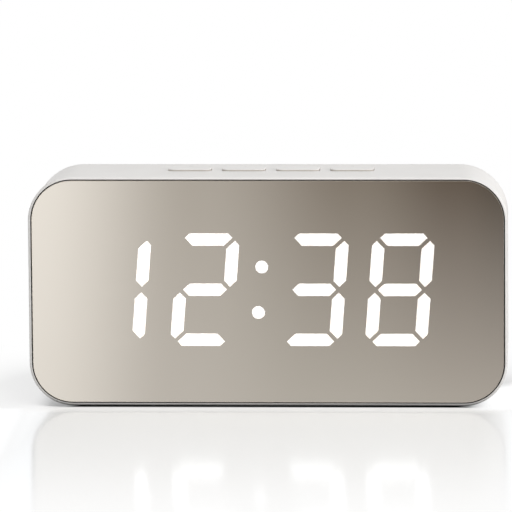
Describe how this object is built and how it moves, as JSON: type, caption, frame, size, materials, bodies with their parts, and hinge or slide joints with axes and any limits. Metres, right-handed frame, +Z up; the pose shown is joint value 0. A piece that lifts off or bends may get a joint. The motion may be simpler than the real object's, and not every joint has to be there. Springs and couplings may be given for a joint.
{
  "type": "led table clock",
  "caption": "Rounded-rectangle mirror-faced LED table clock with glowing seven-bar digits, a white case, press keys in the roof and a hinged battery door behind.",
  "frame": {"origin": "on the table, under the middle of the case", "axes": "+X to the viewer's right, +Y from the mirror to the rear, +Z up"},
  "size_m": [0.1704, 0.038, 0.0834],
  "materials": {
    "shell_white": "satin",
    "key_white": "satin",
    "mirror_face": "half mirror",
    "foam_black": "foam",
    "film_black": "matt",
    "reflector_white": "gloss",
    "segment_lit": "lit diffuser",
    "segment_dark": "unlit diffuser",
    "board_green": "solder mask",
    "led_resin": "gloss",
    "chip_black": "moulded",
    "can_metal": "drawn can",
    "switch_black": "moulded",
    "ribbon_grey": "vinyl",
    "cell_jacket": "plain film jacket",
    "contact_nickel": "nickel plate",
    "lead_black": "vinyl",
    "lead_red": "vinyl",
    "socket_steel": "plated",
    "screw_steel": "zinc plate",
    "foot_rubber": "matt"
  },
  "bodies": {
    "case": {"front_housing": "shell_white", "rear_cover": "shell_white", "mirror_panel": "mirror_face", "mirror_tape": "foam_black", "mask_film": "film_black", "segment_reflector": "reflector_white", "lit_segments": "segment_lit", "dark_segments": "segment_dark", "display_board": "board_green", "segment_leds": "led_resin", "controller_chip": "chip_black", "driver_chips": "chip_black", "clock_crystal": "can_metal", "filter_capacitors": "can_metal", "chip_resistors": "chip_black", "buzzer": "chip_black", "key_board": "board_green", "key_switches": "switch_black", "key_ribbon": "ribbon_grey", "battery_cells": "cell_jacket", "contact_plates": "contact_nickel", "contact_springs": "contact_nickel", "battery_lead_black": "lead_black", "battery_lead_red": "lead_red", "power_board": "board_green", "power_socket_shell": "socket_steel", "power_socket_tongue": "switch_black", "power_leads": "lead_black", "cover_screws": "screw_steel", "board_screws": "screw_steel", "key_board_screws": "screw_steel", "power_board_screws": "screw_steel", "rubber_feet": "foot_rubber"},
    "battery_door": {"battery_door": "shell_white"},
    "set_key": {"set_key": "key_white", "set_plunger": "switch_black"},
    "up_key": {"up_key": "key_white", "up_plunger": "switch_black"},
    "down_key": {"down_key": "key_white", "down_plunger": "switch_black"},
    "snooze_key": {"snooze_key": "key_white", "snooze_plunger": "switch_black"}
  },
  "joints": [
    {"name": "set_press", "type": "slide", "parent": "case", "child": "set_key", "axis": [0, 0, -1], "range_m": [0, 0.0005], "stiffness_N_per_m": 3000},
    {"name": "up_press", "type": "slide", "parent": "case", "child": "up_key", "axis": [0, 0, -1], "range_m": [0, 0.0005], "stiffness_N_per_m": 3000},
    {"name": "down_press", "type": "slide", "parent": "case", "child": "down_key", "axis": [0, 0, -1], "range_m": [0, 0.0005], "stiffness_N_per_m": 3000},
    {"name": "snooze_press", "type": "slide", "parent": "case", "child": "snooze_key", "axis": [0, 0, -1], "range_m": [0, 0.0005], "stiffness_N_per_m": 3000},
    {"name": "door_hinge", "type": "hinge", "parent": "case", "child": "battery_door", "pos_m": [0, 0.0181, 0.0193], "axis": [-1, 0, 0], "range_deg": [0, 70]}
  ]
}
